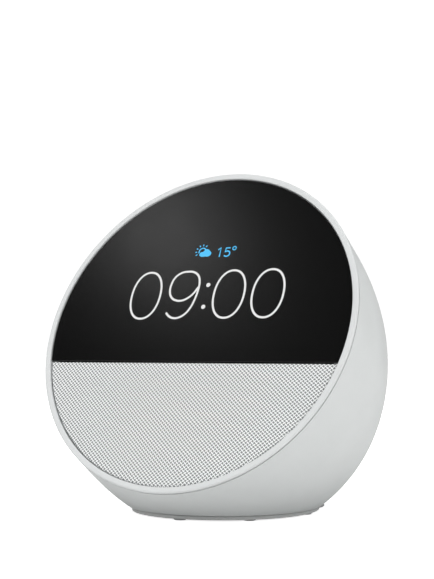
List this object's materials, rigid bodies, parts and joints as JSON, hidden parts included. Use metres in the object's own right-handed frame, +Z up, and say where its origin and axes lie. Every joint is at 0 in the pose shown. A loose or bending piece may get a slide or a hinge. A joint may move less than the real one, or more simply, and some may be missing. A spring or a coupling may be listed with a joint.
{
  "type": "smart speaker",
  "caption": "Round desktop smart speaker: tilted disc face with a glossy black display lens above a woven grille, domed shell, crown buttons and a power inlet.",
  "frame": {"origin": "bottom centre of the overall bounding box, on the table between the rubber feet", "axes": "+Z up, -Y is the side the tilted face looks to, +Y the back with the power inlet, +X to the right of someone facing it"},
  "size_m": [0.1132, 0.1025, 0.1121],
  "materials": {
    "shell_white": "fine matte moulded plastic, warm white",
    "bezel_white": "satin moulded plastic, white",
    "lens_black": "polished cover glass over black ink",
    "grille_cloth": "woven acoustic mesh of white threads",
    "grey_plastic": "matte grey plastic",
    "black_plastic": "matte black plastic",
    "display_stack": "backlit liquid crystal panel in a black rim",
    "connector_white": "cream nylon connector",
    "foot_rubber": "matte grey rubber",
    "surround_rubber": "matte black butyl rubber",
    "plated_steel": "bright zinc or tin plated steel",
    "sink_aluminium": "extruded aluminium",
    "pin_brass": "gold-flashed brass",
    "copper": "bare copper",
    "board_green": "green solder mask on glass-fibre board",
    "cone_paper": "pressed black paper pulp",
    "spider_cloth": "corrugated resin-treated cotton",
    "flex_amber": "amber polyimide film",
    "magnet_ferrite": "sintered ferrite",
    "gasket_foam": "closed-cell foam",
    "thermal_pad": "soft silicone pad"
  },
  "bodies": {
    "housing": {"rear_shell": "shell_white", "front_bezel": "bezel_white", "front_lens": "lens_black", "grille_fabric": "grille_cloth", "grille_carrier": "grey_plastic", "base_plate": "grey_plastic", "front_frame": "black_plastic", "speaker_chamber": "black_plastic", "power_jack": "black_plastic", "power_cable": "black_plastic", "speaker_cable": "black_plastic", "display_module": "display_stack", "power_connector": "connector_white", "speaker_connector": "connector_white", "rubber_foot_1": "foot_rubber", "rubber_foot_2": "foot_rubber", "rubber_foot_3": "foot_rubber", "rubber_foot_4": "foot_rubber", "rubber_foot_5": "foot_rubber", "rubber_foot_6": "foot_rubber", "rubber_foot_7": "foot_rubber", "rubber_foot_8": "foot_rubber", "driver_surround": "surround_rubber", "display_tray": "plated_steel", "processor_shield": "plated_steel", "ballast_plate": "plated_steel", "driver_basket": "plated_steel", "top_plate": "plated_steel", "driver_yoke": "plated_steel", "volume_down_switch": "plated_steel", "mic_mute_switch": "plated_steel", "volume_up_switch": "plated_steel", "microphone_left": "plated_steel", "microphone_right": "plated_steel", "frame_screw_1": "plated_steel", "frame_screw_2": "plated_steel", "frame_screw_3": "plated_steel", "frame_screw_4": "plated_steel", "base_screw_1": "plated_steel", "base_screw_2": "plated_steel", "heat_sink": "sink_aluminium", "power_jack_pin": "pin_brass", "antenna_left": "copper", "antenna_right": "copper", "main_board": "board_green", "button_board": "board_green", "driver_spider": "spider_cloth", "display_flex": "flex_amber", "driver_magnet": "magnet_ferrite", "driver_gasket": "gasket_foam", "thermal_pad": "thermal_pad"},
    "volume_down_key": {"volume_down_button": "shell_white", "volume_down_plunger": "black_plastic"},
    "mic_mute_key": {"mic_mute_button": "shell_white", "mic_mute_plunger": "black_plastic"},
    "volume_up_key": {"volume_up_button": "shell_white", "volume_up_plunger": "black_plastic"},
    "cone_assembly": {"driver_cone": "cone_paper", "dust_cap": "cone_paper", "voice_coil": "copper"}
  },
  "joints": [
    {"name": "volume_down_press", "type": "slide", "parent": "housing", "child": "volume_down_key", "axis": [0, -0.6426, -0.7662], "range_m": [0, 0.0005], "stiffness_N_per_m": 2000},
    {"name": "mic_mute_press", "type": "slide", "parent": "housing", "child": "mic_mute_key", "axis": [0, -0.6426, -0.7662], "range_m": [0, 0.0005], "stiffness_N_per_m": 2000},
    {"name": "volume_up_press", "type": "slide", "parent": "housing", "child": "volume_up_key", "axis": [0, -0.6426, -0.7662], "range_m": [0, 0.0005], "stiffness_N_per_m": 2000},
    {"name": "cone_stroke", "type": "slide", "parent": "housing", "child": "cone_assembly", "axis": [0, -0.9085, 0.4179], "range_m": [-0.0012, 0.0012], "stiffness_N_per_m": 1200, "deforming": ["driver_surround", "driver_spider"]}
  ]
}
